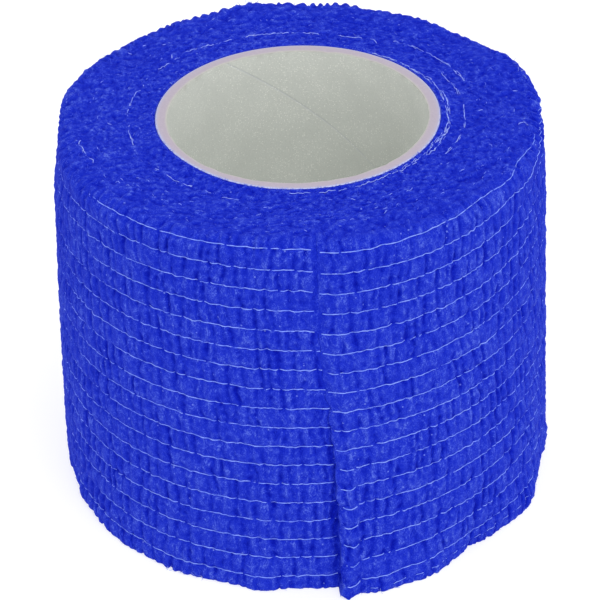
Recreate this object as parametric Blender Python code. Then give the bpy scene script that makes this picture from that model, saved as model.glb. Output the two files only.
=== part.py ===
"""Cohesive bandage roll: a crepe strip wound on a paperboard tube, standing on one end face.

Metres, +Z up. The roll's axis is upright, its base lies at z = 0, and the cut end of the strip faces -Y.
An azimuth is an angle about the roll's axis, in degrees: 0 faces -Y and it grows towards +X.
"""

import math

import bmesh
import bpy

# Driving dimensions
STRIP_WIDTH = 0.050  # the height of the standing roll
WALL_RADIUS = 0.03105  # over the outermost layer at its cut end, half way up
LAYER = 0.00088  # one relaxed layer of the strip
TAPER = 0.021  # radius lost for each metre of height: the roll was wound a little looser at its base
TUBE_OUTER_RADIUS = 0.01754
TUBE_WALL = 0.00132
TUBE_LENGTH = 0.0499
TUBE_RIM_ROUNDING = 0.00025
SEAT_GAP = 0.0003  # between the tube and the first layer

# Elastic threads run round the strip and draw it in, so the cloth swells into a rib between each two.
THREAD_PITCH = 0.00283
THREAD_COUNT = 18
FIRST_THREAD_HEIGHT = 0.0016
RIB_RISE = 0.0003

# Rims of the wound cloth
SHOULDER_RADIUS = 0.0023  # the upper selvage curls in
SHOULDER_ANGLES = (24.0, 50.0, 90.0)  # up the shoulder: a rib, the last thread, the end face
FOOT_ROUNDING = 0.0006
BORE_ROUNDING = 0.0004
END_FACE_RING = 0.0235  # radius where the fine turns of the end face begin to rise to the rim
END_FACE_SAG = 0.00018  # the end face lies this much lower or higher than its mean

# The cut end of the strip leans over, and its lower corner has come away a little.
CUT_TOP_AZIMUTH = 3.5
CUT_BASE_AZIMUTH = 6.9
CORNER_BULGE = 0.0010
CORNER_BULGE_REACH = 0.0013  # from the cut end to the bulge's ridge, and half the ridge's width
CORNER_BULGE_HEIGHT = 0.022
FLARE = 0.0009  # the loose lower edge of the last layer stands out from the roll
FLARE_HEIGHT = 0.0035
FLARE_TURN = 20.0
FLARE_FADE = 14.0

# The winding sits slightly off the tube, and its rows wander up and down on their way round.
WINDING_SHIFT_X = -0.00029
WINDING_SHIFT_Y = 0.00028
ROW_WANDER = 0.0007

# Facets
CUT_END_STEPS = (0.0, 1.2, 2.4, 3.6, 5.4, 8.0)  # degrees past the cut end, where its corner bulges
STEPS_ROUND = 84
TUBE_STEPS = 72


def smooth_step(low, high, value):
    """0 below low, 1 above high, and a smooth curve between them."""
    share = min(max((value - low) / (high - low), 0.0), 1.0)
    return share * share * (3.0 - 2.0 * share)


def cut_azimuth(height):
    """Where the cut end lies at a height."""
    up = smooth_step(0.2 * STRIP_WIDTH, 0.85 * STRIP_WIDTH, height)
    return CUT_BASE_AZIMUTH + (CUT_TOP_AZIMUTH - CUT_BASE_AZIMUTH) * up


def row_wander(azimuth):
    """How far the rows of the strip lie above their mean height."""
    swing = math.sin(math.radians(azimuth) + 0.15)
    return ROW_WANDER * swing * abs(swing)


def end_sag(azimuth):
    """Unevenness of the upper end face."""
    angle = math.radians(azimuth)
    return END_FACE_SAG * (math.sin(2.0 * angle + 0.6) + 0.6 * math.sin(5.0 * angle + 1.1) - 1.6)


def wall_radius(turn, azimuth, height):
    """Radius of the outermost layer's face. turn runs from 0 at the cut end to 1, once round, under it."""
    angle = math.radians(azimuth)
    radius = WALL_RADIUS - TAPER * (height - STRIP_WIDTH / 2) - LAYER * turn
    radius += WINDING_SHIFT_X * math.sin(angle) - WINDING_SHIFT_Y * math.cos(angle)
    along = turn * 360.0
    loose_edge = 1.0 - smooth_step(FLARE_TURN, FLARE_TURN + FLARE_FADE, along)
    radius += FLARE * loose_edge * math.exp(-height / FLARE_HEIGHT)
    from_ridge = math.radians(along) * WALL_RADIUS / CORNER_BULGE_REACH - 1.0
    low_down = 1.0 - smooth_step(0.0, CORNER_BULGE_HEIGHT, height)
    radius += CORNER_BULGE * low_down * math.exp(-from_ridge * from_ridge)
    return radius


def wall_rows(azimuth):
    """(height, rise) up the straight wall: a rib's crest between each two threads."""
    rows = [(FOOT_ROUNDING, 0.0)]
    for thread in range(THREAD_COUNT - 1):
        height = FIRST_THREAD_HEIGHT + THREAD_PITCH * thread
        share = math.sin(math.pi * height / STRIP_WIDTH)  # the rims of the strip stay level
        lift = row_wander(azimuth) * share
        if thread:
            rows.append((height - THREAD_PITCH / 2 + lift, RIB_RISE))
        rows.append((height + lift, 0.0))
    return rows


def outer_points(turn):
    """(azimuth, radius, height) of the points that move in by one layer each turn, from foot to rim."""
    def at(height, inset=0.0, rise=0.0, place=None):
        azimuth = cut_azimuth(height) + 360.0 * turn
        radius = wall_radius(turn, azimuth, height) + rise - inset
        return azimuth, radius, height if place is None else place

    middle = cut_azimuth(STRIP_WIDTH / 2) + 360.0 * turn
    points = [at(0.0, inset=FOOT_ROUNDING)]
    points += [at(height, rise=rise) for height, rise in wall_rows(middle)]
    wall_top = STRIP_WIDTH - SHOULDER_RADIUS
    for number, angle in enumerate(SHOULDER_ANGLES):
        tilt = math.radians(angle)
        reach = SHOULDER_RADIUS + (RIB_RISE if number == 0 else 0.0)
        inset = SHOULDER_RADIUS - reach * math.cos(tilt)
        height = wall_top + reach * math.sin(tilt) + end_sag(middle) * math.sin(tilt)
        points.append(at(wall_top, inset=inset, place=height))
    return points


def inner_points(turn):
    """(azimuth, radius, height) of the points shared by the turn's start and its end: end faces and bore."""
    bore = TUBE_OUTER_RADIUS + SEAT_GAP
    top = cut_azimuth(STRIP_WIDTH) + 360.0 * turn
    base = cut_azimuth(0.0) + 360.0 * turn
    inner_top = STRIP_WIDTH + 0.5 * end_sag(0.0)
    return [
        (top, END_FACE_RING, STRIP_WIDTH + end_sag(top)),
        (top, bore + BORE_ROUNDING, inner_top),
        (top, bore, inner_top - BORE_ROUNDING),
        (base, bore, BORE_ROUNDING),
        (base, bore + BORE_ROUNDING, 0.0),
        (base, END_FACE_RING, 0.0),
    ]


def place(point):
    azimuth, radius, height = point
    angle = math.radians(azimuth)
    return radius * math.sin(angle), -radius * math.cos(angle), height


def turn_shares():
    """Columns of the mesh: close together past the cut end, then even."""
    first = [step / 360.0 for step in CUT_END_STEPS]
    start = first[-1]
    return first + [start + (1.0 - start) * step / STEPS_ROUND for step in range(1, STEPS_ROUND)]


def make_object(name, shape, colour, roughness, sharp_angle):
    """An object of the mesh in shape, with its own material."""
    mesh = bpy.data.meshes.new(name)
    bmesh.ops.recalc_face_normals(shape, faces=shape.faces)
    shape.to_mesh(mesh)
    shape.free()
    mesh.shade_smooth()
    mesh.set_sharp_from_angle(angle=math.radians(sharp_angle))
    made = bpy.data.objects.new(name, mesh)
    bpy.context.collection.objects.link(made)
    material = bpy.data.materials.new(name)
    material.use_nodes = True
    shader = material.node_tree.nodes["Principled BSDF"]
    shader.inputs["Base Color"].default_value = (*colour, 1.0)
    shader.inputs["Roughness"].default_value = roughness
    shader.inputs["Metallic"].default_value = 0.0
    mesh.materials.append(material)
    return made


def wound_cloth():
    """The wound strip as one solid: a spiral wall whose last layer ends in a step, and a bore."""
    shape = bmesh.new()
    columns = []
    for turn in turn_shares():
        points = outer_points(turn) + inner_points(turn)
        columns.append([shape.verts.new(place(point)) for point in points])
    first = columns[0]
    under = [shape.verts.new(place(point)) for point in outer_points(1.0)]
    under += first[len(under):]
    columns.append(under)
    count = len(first)
    for left, right in zip(columns, columns[1:]):
        for row in range(count):
            above = (row + 1) % count
            shape.faces.new((left[row], right[row], right[above], left[above]))
    for row in range(count):  # the cut end of the strip
        above = (row + 1) % count
        corners = [under[row], first[row], first[above], under[above]]
        distinct = list(dict.fromkeys(corners))
        if len(distinct) > 2:
            shape.faces.new(distinct)
    return make_object("bandage_roll", shape, (0.025, 0.048, 0.59), 0.85, 40.0)


def paper_tube():
    """The paperboard tube that the strip is wound on."""
    inner = TUBE_OUTER_RADIUS - TUBE_WALL
    edge = TUBE_RIM_ROUNDING
    profile = [
        (TUBE_OUTER_RADIUS - edge, 0.0),
        (TUBE_OUTER_RADIUS, edge),
        (TUBE_OUTER_RADIUS, TUBE_LENGTH - edge),
        (TUBE_OUTER_RADIUS - edge, TUBE_LENGTH),
        (inner + edge, TUBE_LENGTH),
        (inner, TUBE_LENGTH - edge),
        (inner, edge),
        (inner + edge, 0.0),
    ]
    shape = bmesh.new()
    rings = []
    for step in range(TUBE_STEPS):
        azimuth = 360.0 * step / TUBE_STEPS
        rings.append([shape.verts.new(place((azimuth, radius, height))) for radius, height in profile])
    count = len(profile)
    for step in range(TUBE_STEPS):
        left, right = rings[step], rings[(step + 1) % TUBE_STEPS]
        for row in range(count):
            above = (row + 1) % count
            shape.faces.new((left[row], right[row], right[above], left[above]))
    return make_object("core_tube", shape, (0.50, 0.52, 0.49), 0.8, 30.0)


def centre_footprint(pieces):
    """Moves the pieces together so that the box around them has its centre over the origin."""
    corners = [vertex.co for piece in pieces for vertex in piece.data.vertices]
    middle_x = (min(corner.x for corner in corners) + max(corner.x for corner in corners)) / 2
    middle_y = (min(corner.y for corner in corners) + max(corner.y for corner in corners)) / 2
    for piece in pieces:
        piece.location = (-middle_x, -middle_y, 0.0)


def main():
    for old in list(bpy.data.objects):
        bpy.data.objects.remove(old, do_unlink=True)
    centre_footprint([wound_cloth(), paper_tube()])


main()
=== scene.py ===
import math

import bpy
import numpy as np
from mathutils import Matrix, Vector


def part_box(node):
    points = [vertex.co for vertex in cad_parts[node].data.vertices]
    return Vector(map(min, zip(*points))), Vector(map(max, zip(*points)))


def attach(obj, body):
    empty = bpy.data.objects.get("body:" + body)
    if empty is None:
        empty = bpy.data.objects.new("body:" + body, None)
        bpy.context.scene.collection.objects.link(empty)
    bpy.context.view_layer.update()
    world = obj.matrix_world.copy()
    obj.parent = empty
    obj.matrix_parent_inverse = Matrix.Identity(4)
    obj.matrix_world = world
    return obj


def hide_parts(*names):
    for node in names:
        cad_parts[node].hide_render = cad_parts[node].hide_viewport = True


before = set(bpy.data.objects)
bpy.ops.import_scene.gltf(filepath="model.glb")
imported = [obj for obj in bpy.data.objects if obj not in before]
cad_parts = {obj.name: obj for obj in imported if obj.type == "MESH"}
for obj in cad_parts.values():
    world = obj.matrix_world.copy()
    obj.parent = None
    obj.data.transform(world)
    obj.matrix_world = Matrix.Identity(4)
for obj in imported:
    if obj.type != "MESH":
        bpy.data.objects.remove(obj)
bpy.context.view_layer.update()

# The cloth of the roll is one grid, wrapped round the winding: its columns run round from the cut end of
# the strip, and its rows run out over the base, up the wall, over the shoulder, in across the end face and
# down the bore. Every size is in metres. An azimuth is in degrees, 0 faces -Y and it grows towards +X.
# "up" is a distance along the strip's width: it is the height on the wall, and it runs on over the rims.

MM = 0.001
SEED = 41

# The winding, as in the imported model
STRIP_WIDTH = 50 * MM
WALL_RADIUS = 31.05 * MM  # over the outermost layer at its cut end, half way up
LAYER = 0.88 * MM
TAPER = 0.021  # radius lost for each metre of height
THREAD_PITCH = 2.83 * MM
THREAD_COUNT = 18
FIRST_THREAD_HEIGHT = 1.6 * MM
RIB_RISE = 0.3 * MM
SHOULDER_RADIUS = 2.3 * MM
END_FACE_SAG = 0.18 * MM
CUT_TOP_AZIMUTH = 3.5
CUT_BASE_AZIMUTH = 6.9
CORNER_BULGE = 1.0 * MM
CORNER_BULGE_REACH = 1.3 * MM
CORNER_BULGE_HEIGHT = 22 * MM
FLARE = 0.9 * MM
FLARE_HEIGHT = 3.5 * MM
FLARE_TURN = 20.0
FLARE_FADE = 14.0
WINDING_SHIFT_X = -0.29 * MM
WINDING_SHIFT_Y = 0.28 * MM
ROW_WANDER = 0.7 * MM

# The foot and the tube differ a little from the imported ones: here the cloth lies close round the tube
FOOT_ROUNDING = 0.3 * MM
TUBE_OUTER_RADIUS = 17.60 * MM
TUBE_WALL = 1.48 * MM
TUBE_LENGTH = 50.0 * MM
TUBE_SHIFT = (-0.07 * MM, 0.12 * MM, 0.0)
TUBE_DENT = 0.34 * MM  # the winding has pressed the tube in a little on one side
TUBE_DENT_AZIMUTH = -50.0
TUBE_DENT_WIDTH = 24.0
RIM_ABOVE_CLOTH = 0.05 * MM
BORE = TUBE_OUTER_RADIUS + 0.03 * MM

TUBE_LOW, TUBE_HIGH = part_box("core_tube")
AXIS_X = (TUBE_LOW[0] + TUBE_HIGH[0]) / 2
AXIS_Y = (TUBE_LOW[1] + TUBE_HIGH[1]) / 2

ROUND = 2 * math.pi * WALL_RADIUS  # once round the wall
WALL_TOP = STRIP_WIDTH - SHOULDER_RADIUS
LOWER_RIM = FOOT_ROUNDING * (1 - math.pi / 2)  # the strip's lower selvage, as a value of "up"
UPPER_RIM = WALL_TOP + SHOULDER_RADIUS * math.pi / 2


# ---------------------------------------------------------------- noise and small helpers

def smooth_step(low, high, value):
    share = np.clip((value - low) / (high - low), 0.0, 1.0)
    return share * share * (3.0 - 2.0 * share)


def bell(distance, width):
    return np.exp(-(distance / width) ** 2)


NOISE_TABLE = (509, 521)  # the noise repeats after this many cells


def lattice_noise(x, y, seed, wrap=None):
    """Smooth noise from -1 to 1 with cells of size 1; wrap makes x repeat after that many cells."""
    width, depth = NOISE_TABLE
    table = np.random.default_rng(seed).uniform(-1.0, 1.0, (width, depth))
    left, low = np.floor(x).astype(int), np.floor(y).astype(int)
    across, up = x - left, y - low
    across = across * across * (3.0 - 2.0 * across)
    up = up * up * (3.0 - 2.0 * up)
    right = left + 1
    if wrap:
        left, right = left % wrap, right % wrap
    left, right = left % width, right % width
    high = (low + 1) % depth
    low = low % depth
    bottom = table[left, low] * (1 - across) + table[right, low] * across
    top = table[left, high] * (1 - across) + table[right, high] * across
    return bottom * (1 - up) + top * up


def rough(x, y, seed, octaves=3, wrap=None):
    """Several octaves of lattice noise."""
    x, y = np.broadcast_arrays(x, y)
    total = np.zeros(x.shape)
    share = 1.0
    for octave in range(octaves):
        factor = 2 ** octave
        wrapped = wrap * factor if wrap else None
        total += share * lattice_noise(x * factor, y * factor, seed + octave, wrapped)
        share *= 0.5
    return total


def unit(vectors):
    return vectors / np.maximum(np.linalg.norm(vectors, axis=-1, keepdims=True), 1e-12)


def place(azimuth, radius, height):
    angle = np.radians(azimuth)
    x = AXIS_X + radius * np.sin(angle)
    y = AXIS_Y - radius * np.cos(angle)
    return np.stack(np.broadcast_arrays(x, y, height), axis=-1)


# ---------------------------------------------------------------- the shape of the winding

def cut_azimuth(height):
    up = smooth_step(0.2 * STRIP_WIDTH, 0.85 * STRIP_WIDTH, height)
    return CUT_BASE_AZIMUTH + (CUT_TOP_AZIMUTH - CUT_BASE_AZIMUTH) * up


def row_wander(azimuth):
    swing = np.sin(np.radians(azimuth) + 0.15)
    return ROW_WANDER * swing * np.abs(swing)


DRIFT_TURN = 0.2  # share of the turn over which the rows drift at either end of it
# Millimetres: a line for each power of the height share, a column for each power of the turn share
START_DRIFT = (
    (0.26, 2.54, -0.71),
    (-1.53, -7.15, 0.60),
    (0.25, 4.36, 4.02),
)
END_DRIFT = (
    (0.61, -1.04, 1.82),
    (-1.69, 2.82, -2.73),
    (0.29, -0.35, -0.49),
)


def drift(table, turn_share, height_share):
    """How far rows lie above their even spacing near one end of the last turn."""
    share = np.clip(turn_share, 0.0, 1.1)
    total = 0.0
    for number, line in enumerate(table):
        total = total + height_share ** number * (line[0] + share * (line[1] + share * line[2]))
    return total * MM * (1.0 - smooth_step(1.0, 1.9, turn_share))  # it dies out along the strip


def row_lift(turn, azimuth, up):
    """How far a row lies above its place in an even spacing."""
    share = np.clip(up / STRIP_WIDTH, 0.0, 1.0)
    lift = row_wander(azimuth) * np.sin(math.pi * share)
    lift = lift + drift(START_DRIFT, turn / DRIFT_TURN, share)
    return lift + drift(END_DRIFT, (1.0 - turn) / DRIFT_TURN, share)


def from_azimuth(azimuth, centre):
    """Degrees between two azimuths, from -180 to 180."""
    return (azimuth - centre + 180.0) % 360.0 - 180.0


# Places where a rim swells or sinks: azimuth and width in degrees, then in millimetres how far it stands out
# and, on the upper rim, how much higher
OUT, HIGHER = 2, 3  # columns of the tables below
UPPER_RIM_SWELLS = (
    (-178.0, 16.0, 0.0, 0.30),
    (-168.0, 7.0, 0.0, 0.60),
    (166.0, 3.5, 0.0, 0.35),
    (176.0, 3.0, 0.0, -0.15),
    (158.0, 5.0, 0.0, 0.05),
    (114.0, 12.0, 0.55, 0.75),
    (92.0, 5.0, -0.30, -0.10),
    (-130.0, 6.0, 0.0, -0.65),
    (-141.0, 5.0, 0.0, -0.40),
    (148.0, 7.0, 0.0, 0.45),
    (-107.0, 9.0, 0.35, 0.10),
    (-91.0, 19.0, -0.68, -0.20),
)
UPPER_REACH_FROM = 39 * MM  # the wall leans out or in above this height
LOWER_RIM_SWELLS = (
    (-74.0, 9.0, -0.35),
    (-68.0, 4.0, 0.40),
    (-55.0, 6.0, 0.40),
    (-47.0, 2.5, 0.40),
    (-33.0, 10.0, 0.65),
    (-12.0, 6.0, 0.85),
    (4.0, 4.0, 0.35),
    (8.0, 1.2, 0.50),
    (10.4, 2.0, -0.75),
    (15.5, 5.0, 0.75),
    (26.0, 4.5, 0.55),
    (41.0, 3.5, -0.35),
    (57.0, 6.0, 0.65),
    (64.0, 5.0, 0.70),
    (79.0, 5.0, -0.25),
    (88.0, 6.0, 0.25),
)
LOWER_REACH_TO = 7 * MM  # the lower rim's swells fade out at this height


def swelling(swells, column, azimuth, scale=MM):
    """One column of the swells, each faded out on both sides of its azimuth."""
    return sum(swell[column] * scale * bell(from_azimuth(azimuth, swell[0]), swell[1]) for swell in swells)


def end_sag(azimuth):
    angle = np.radians(azimuth)
    return END_FACE_SAG * (np.sin(2.0 * angle + 0.6) + 0.6 * np.sin(5.0 * angle + 1.1) - 1.6)


def tube_dent(azimuth):
    return TUBE_DENT * bell(from_azimuth(azimuth, TUBE_DENT_AZIMUTH), TUBE_DENT_WIDTH)


def bore_radius(azimuth):
    """The innermost layer lies close round the tube."""
    angle = np.radians(azimuth)
    return BORE + TUBE_SHIFT[0] * np.sin(angle) - TUBE_SHIFT[1] * np.cos(angle) - tube_dent(azimuth)


def rim_swell(azimuth):
    return swelling(UPPER_RIM_SWELLS, HIGHER, azimuth)


def wall_radius(turn, azimuth, height):
    angle = np.radians(azimuth)
    radius = WALL_RADIUS - TAPER * (height - STRIP_WIDTH / 2) - LAYER * turn
    radius = radius + WINDING_SHIFT_X * np.sin(angle) - WINDING_SHIFT_Y * np.cos(angle)
    along = turn * 360.0
    loose_edge = 1.0 - smooth_step(FLARE_TURN, FLARE_TURN + FLARE_FADE, along)
    radius = radius + FLARE * loose_edge * np.exp(-height / FLARE_HEIGHT)
    from_ridge = np.radians(along) * WALL_RADIUS / CORNER_BULGE_REACH - 1.0
    low_down = 1.0 - smooth_step(0.0, CORNER_BULGE_HEIGHT, height)
    radius = radius + CORNER_BULGE * low_down * np.exp(-from_ridge * from_ridge)
    high = smooth_step(UPPER_REACH_FROM, WALL_TOP, height)
    low = 1.0 - smooth_step(0.0, LOWER_REACH_TO, height)
    radius = radius + high * swelling(UPPER_RIM_SWELLS, OUT, azimuth)
    return radius + low * swelling(LOWER_RIM_SWELLS, OUT, azimuth)


# ---------------------------------------------------------------- relief of the crepe

PUCKER_PITCH = 1.50 * MM
PUCKER_DEPTH = 0.34 * MM
GROOVE_WIDTH = 0.32 * MM
THREAD_BLEND = 0.07  # share of a row over which the gathers of two rows meet at their thread
HIGHLIGHT_STREAK_OFF = 0.40 * MM  # from the middle of a groove to the flank beside it that gets a painted highlight
HIGHLIGHT_STREAK_WIDTH = 0.13 * MM
CREPE_GRAIN = 0.52 * MM
CREPE_GRAIN_DEPTH = 0.065 * MM
CREPE_SWELL_DEPTH = 0.05 * MM


class Puckers:
    """The gathers of one row: uneven spacing and depth along the strip."""

    def __init__(self, row):
        chance = np.random.default_rng(SEED * 100 + row)
        count = int(1.25 * ROUND / PUCKER_PITCH)
        steps = PUCKER_PITCH * chance.lognormal(-0.03, 0.27, count)
        self.places = np.cumsum(steps) - 6 * MM
        self.depths = chance.uniform(0.15, 1.0, count)
        self.widths = GROOVE_WIDTH * chance.uniform(0.7, 1.5, count)
        self.numbers = np.arange(count)

    def phase(self, along):
        """How many gathers lie before a place."""
        return np.interp(along, self.places, self.numbers)

    def nearest(self, along):
        """The number of the nearest groove, and the distance from it."""
        number = np.rint(self.phase(along)).astype(int)
        return number, along - self.places[number]

    def groove(self, along, narrower=1.0):
        """1 in the middle of a deep groove, 0 on a ridge."""
        number, distance = self.nearest(along)
        return self.depths[number] * bell(distance, self.widths[number] * narrower)

    def crown(self, along):
        """1 over a ridge, 0 between two."""
        phase = self.phase(along)
        off_middle = np.abs(2.0 * (phase - np.floor(phase)) - 1.0)
        return 1.0 - off_middle ** 2.1

    def step(self, along):
        """A saw's teeth: each gather swells slowly and ends with a sharp step, to one side or the other."""
        phase = self.phase(along)
        number = np.floor(phase).astype(int)
        share = phase - number
        share = np.where(np.sin(number * 7.13) > -0.3, share, 1.0 - share)
        return self.depths[number] * (np.minimum(share, (1.0 - share) * 5.0) - 0.4)

    def highlight_streak(self, along):
        """1 along some flanks of the ridges, where the cloth folds over and catches the light: the mask of a
        painted highlight.
        """
        number, distance = self.nearest(along)
        side = np.where(distance > 0, 1, -1)
        chance = np.sin(number * 12.9898 + side * 78.233) * 43.758
        chance = chance - np.floor(chance)
        return np.clip(chance * 1.6 - 0.45, 0.0, 1.0) * bell(np.abs(distance) - HIGHLIGHT_STREAK_OFF, HIGHLIGHT_STREAK_WIDTH)


PUCKERS = {row: Puckers(row) for row in range(-1, THREAD_COUNT + 1)}
RIM_PUCKERS = Puckers(THREAD_COUNT + 5)
RIM_SCALLOP = 0.74 * MM
FOOT_PUCKERS = Puckers(THREAD_COUNT + 9)
RIM_STEP = 0.38 * MM
SIZE = 2  # a column of the table below
SCALLOPED = (  # where the lumps of the upper rim are largest: azimuth, width and share of a whole lump
    (-132.0, 36.0, 0.85),
    (108.0, 22.0, 0.95),
    (172.0, 12.0, 0.55),
)


def rim_scallops(along, azimuth, tilt):
    """The gathered selvage stands out in lumps over the shoulder: tilt is 0 on the wall, 1 on the end."""
    there = smooth_step(-0.12, 0.16, tilt) * (1.0 - smooth_step(0.68, 0.95, tilt))
    size = 0.25 + 0.25 * rough(azimuth / 9.0, 3.7, SEED + 17, 2)
    size = size + swelling(SCALLOPED, SIZE, azimuth, scale=1.0)
    lump = RIM_PUCKERS.crown(along + 0.25 * MM * rough(along / (1.2 * MM), tilt * 2, SEED + 18, 1))
    return RIM_SCALLOP * np.clip(size, 0.05, 1.2) * there * (lump - 0.42)


def row_place(turn, azimuth, up):
    """Which row a point lies in: 0 on the lowest thread, 1 on the next."""
    return (up - row_lift(turn, azimuth, up) - FIRST_THREAD_HEIGHT) / THREAD_PITCH


def wall_relief(turn, azimuth, up):
    """Height of the crepe at a share of the turn and a distance up the strip, and its tone, dark below 0:
    painted shade in the grooves, painted highlights along some flanks, and the crepe's own grain.
    """
    turn, azimuth, up = np.broadcast_arrays(turn, azimuth, up)
    along = turn * ROUND
    row = row_place(turn, azimuth, up)
    lean = rough(along / (4 * MM), up / (5 * MM), SEED + 1, 2) * 0.5 * MM
    bend = rough(along / (1.7 * MM), up / (1.0 * MM), SEED + 5, 2) * 0.17 * MM
    patchy = np.clip(0.80 + 0.55 * rough(along / (1.1 * MM), up / (0.75 * MM), SEED + 7, 2), 0.1, 1.4)
    relief = np.zeros(turn.shape)
    tone = np.zeros(turn.shape)
    for number, puckers in PUCKERS.items():
        share = row - number
        near = (share > -THREAD_BLEND) & (share < 1 + THREAD_BLEND)
        if not near.any():
            continue
        here = share[near]
        weight = smooth_step(-THREAD_BLEND, THREAD_BLEND, here)
        weight = weight * (1 - smooth_step(1 - THREAD_BLEND, 1 + THREAD_BLEND, here))
        swell = np.sin(math.pi * np.clip(here, 0.0, 1.0))
        shifted = (along + bend)[near] + lean[near] * (here - 0.5)
        sunk = puckers.groove(shifted) * patchy[near]
        strength = 0.7 + 0.3 * swell
        relief[near] += weight * 0.4 * strength * PUCKER_DEPTH * puckers.crown(shifted)
        relief[near] += weight * RIB_RISE * 0.75 * swell ** 0.7
        relief[near] -= weight * 0.8 * strength * PUCKER_DEPTH * sunk
        # The tone gets painted shade in the grooves and a painted highlight along some ridge flanks
        tone[near] += weight * (0.25 * puckers.highlight_streak(shifted) * patchy[near] - 0.51 * sunk)
    grain = rough(along / CREPE_GRAIN, up / CREPE_GRAIN, SEED + 9, 2)
    broad = rough(along / (12 * MM), up / (9 * MM), SEED + 15, 2)
    return relief + grain * CREPE_GRAIN_DEPTH + broad * CREPE_SWELL_DEPTH, tone + 0.15 * grain


END_ROUND = 2 * math.pi * 24 * MM  # once round the middle of the end face


def end_noise(azimuth, radius, length, width, seed, octaves):
    """Noise over the end face, with cells of this length round the roll and this width across its turns."""
    cells = int(END_ROUND / length)
    return rough(azimuth / 360.0 * cells, radius / width, seed, octaves, cells)


def end_relief(azimuth, radius):
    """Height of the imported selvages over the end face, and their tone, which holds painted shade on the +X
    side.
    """
    coarse = end_noise(azimuth, radius, 0.62 * MM, 0.50 * MM, SEED + 21, 3)
    fine = end_noise(azimuth, radius, 0.38 * MM, 0.32 * MM, SEED + 31, 2)
    broad = end_noise(azimuth, radius, 6.8 * MM, 5 * MM, SEED + 41, 2)
    relief = 0.12 * MM * coarse + 0.07 * MM * fine + 0.10 * MM * broad
    # Painted shade: the tone is darker towards +X and unchanged towards -X
    tone = 0.19 * coarse + 0.24 * fine - 0.06 - 0.03 * (1.0 + np.sin(np.radians(azimuth)))
    return relief, tone


# ---------------------------------------------------------------- the cut end of the strip

EDGE_SOFT_TOP = 0.52 * MM  # the edge lies down at the top, so little of its step shows
EDGE_SOFT_REACH = 1.2 * MM
UNDER_RAMP = 0.30 * MM  # the layer under it rises to it there
CREVICE = 0.09 * MM  # lower down the layer under it falls away beside it
CREVICE_REACH = 0.6 * MM
EDGE_SHADE = 0.26  # painted shade: the layer under the loose edge is painted darker beside it
EDGE_SHADE_REACH = 1.35 * MM
EDGE_HIGHLIGHT = 0.14  # painted highlight: the edge itself is felted, and is painted lighter
EDGE_HIGHLIGHT_REACH = 0.45 * MM
EDGE_WAVE = 0.20 * MM
EDGE_BULGE = 0.22 * MM  # between two threads the edge stands out a little
LIFT_HEIGHT = 31 * MM  # the edge is tight above this height, and looser the lower it is
PLAIN_REACH = 0.55 * MM  # the cloth is plain this close to the tight edge
CORNER_RISE = 0.6 * MM  # the loose lower corner turns up a little
CORNER_RISE_REACH = 0.6 * MM
CORNER_RISE_HEIGHT = 2.5 * MM


def looseness(height):
    """0 where the cut end is stuck down tight, 1 at its loose lower corner."""
    return 1.0 - smooth_step(0.35 * LIFT_HEIGHT, LIFT_HEIGHT, height)


def edge_shape(turn, height):
    """Extra radius near the cut end, on the strip and on the layer under it."""
    loose = looseness(height)
    past = turn * ROUND
    before = (1.0 - turn) * ROUND
    extra = -EDGE_SOFT_TOP * (1.0 - loose) * bell(past, EDGE_SOFT_REACH)
    extra = extra + UNDER_RAMP * (1.0 - loose) * bell(before, EDGE_SOFT_REACH)
    return extra - CREVICE * loose * bell(before, CREVICE_REACH)


def edge_plainness(turn, height):
    """How much of the crepe is left near the tight part of the cut end."""
    near = bell(turn * ROUND, PLAIN_REACH) + bell((1.0 - turn) * ROUND, PLAIN_REACH)
    return 1.0 - 0.8 * near * (1.0 - looseness(height))


def edge_wave(turn, height):
    """How far the cut edge wanders off its line, in degrees."""
    wave = rough(height / (1.9 * MM), 0.5, SEED + 61, 2) * EDGE_WAVE
    row = (height - FIRST_THREAD_HEIGHT) / THREAD_PITCH
    wave = wave - EDGE_BULGE * (np.sin(math.pi * (row - np.floor(row))) - 0.6)
    near = bell(turn * ROUND, 1.2 * MM) + bell((1.0 - turn) * ROUND, 1.2 * MM)
    return np.degrees(wave * near / WALL_RADIUS)


def edge_painted_light(turn, height):
    """Painted shade on the layer under the cut end, beside it, and a painted highlight along the edge itself.
    """
    loose = looseness(height)
    uneven = np.clip(0.6 + 0.6 * rough(height / (1.6 * MM), 4.1, SEED + 63, 2), 0.0, 1.2)
    shaded = EDGE_SHADE * (0.8 * uneven + (1.0 - 0.8 * uneven) * loose)
    tone = -shaded * bell((1.0 - turn) * ROUND, EDGE_SHADE_REACH * (0.5 + 0.5 * loose))
    return tone + EDGE_HIGHLIGHT * (0.2 + 0.8 * loose) * bell(turn * ROUND, EDGE_HIGHLIGHT_REACH)


# ---------------------------------------------------------------- the grid

FOOT_RAGGED = 0.12 * MM
FOOT_FROM, FOOT_TO = 0.3 * MM, 2.0 * MM  # the ragged lower rim runs out between these heights


def foot_relief(turn, azimuth):
    """The lower rim is ragged, with a step at each gather."""
    ragged = rough(azimuth / 6.0, 1.3, SEED + 19, 2) + rough(azimuth / 1.4, 2.3, SEED + 23, 3)
    return FOOT_RAGGED * ragged + RIM_STEP * FOOT_PUCKERS.step(turn * ROUND)


def packed_share(azimuth, up, tilt):
    """1 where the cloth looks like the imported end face. That reaches further down the sides of the roll."""
    beside = smooth_step(52.0, 75.0, np.abs(from_azimuth(azimuth, 0.0)))
    packed = smooth_step(0.5 - 0.35 * beside, 1.0 - 0.45 * beside, tilt)
    return np.maximum(packed, 0.55 * beside * smooth_step(WALL_TOP - 4 * MM, WALL_TOP, up))


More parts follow.
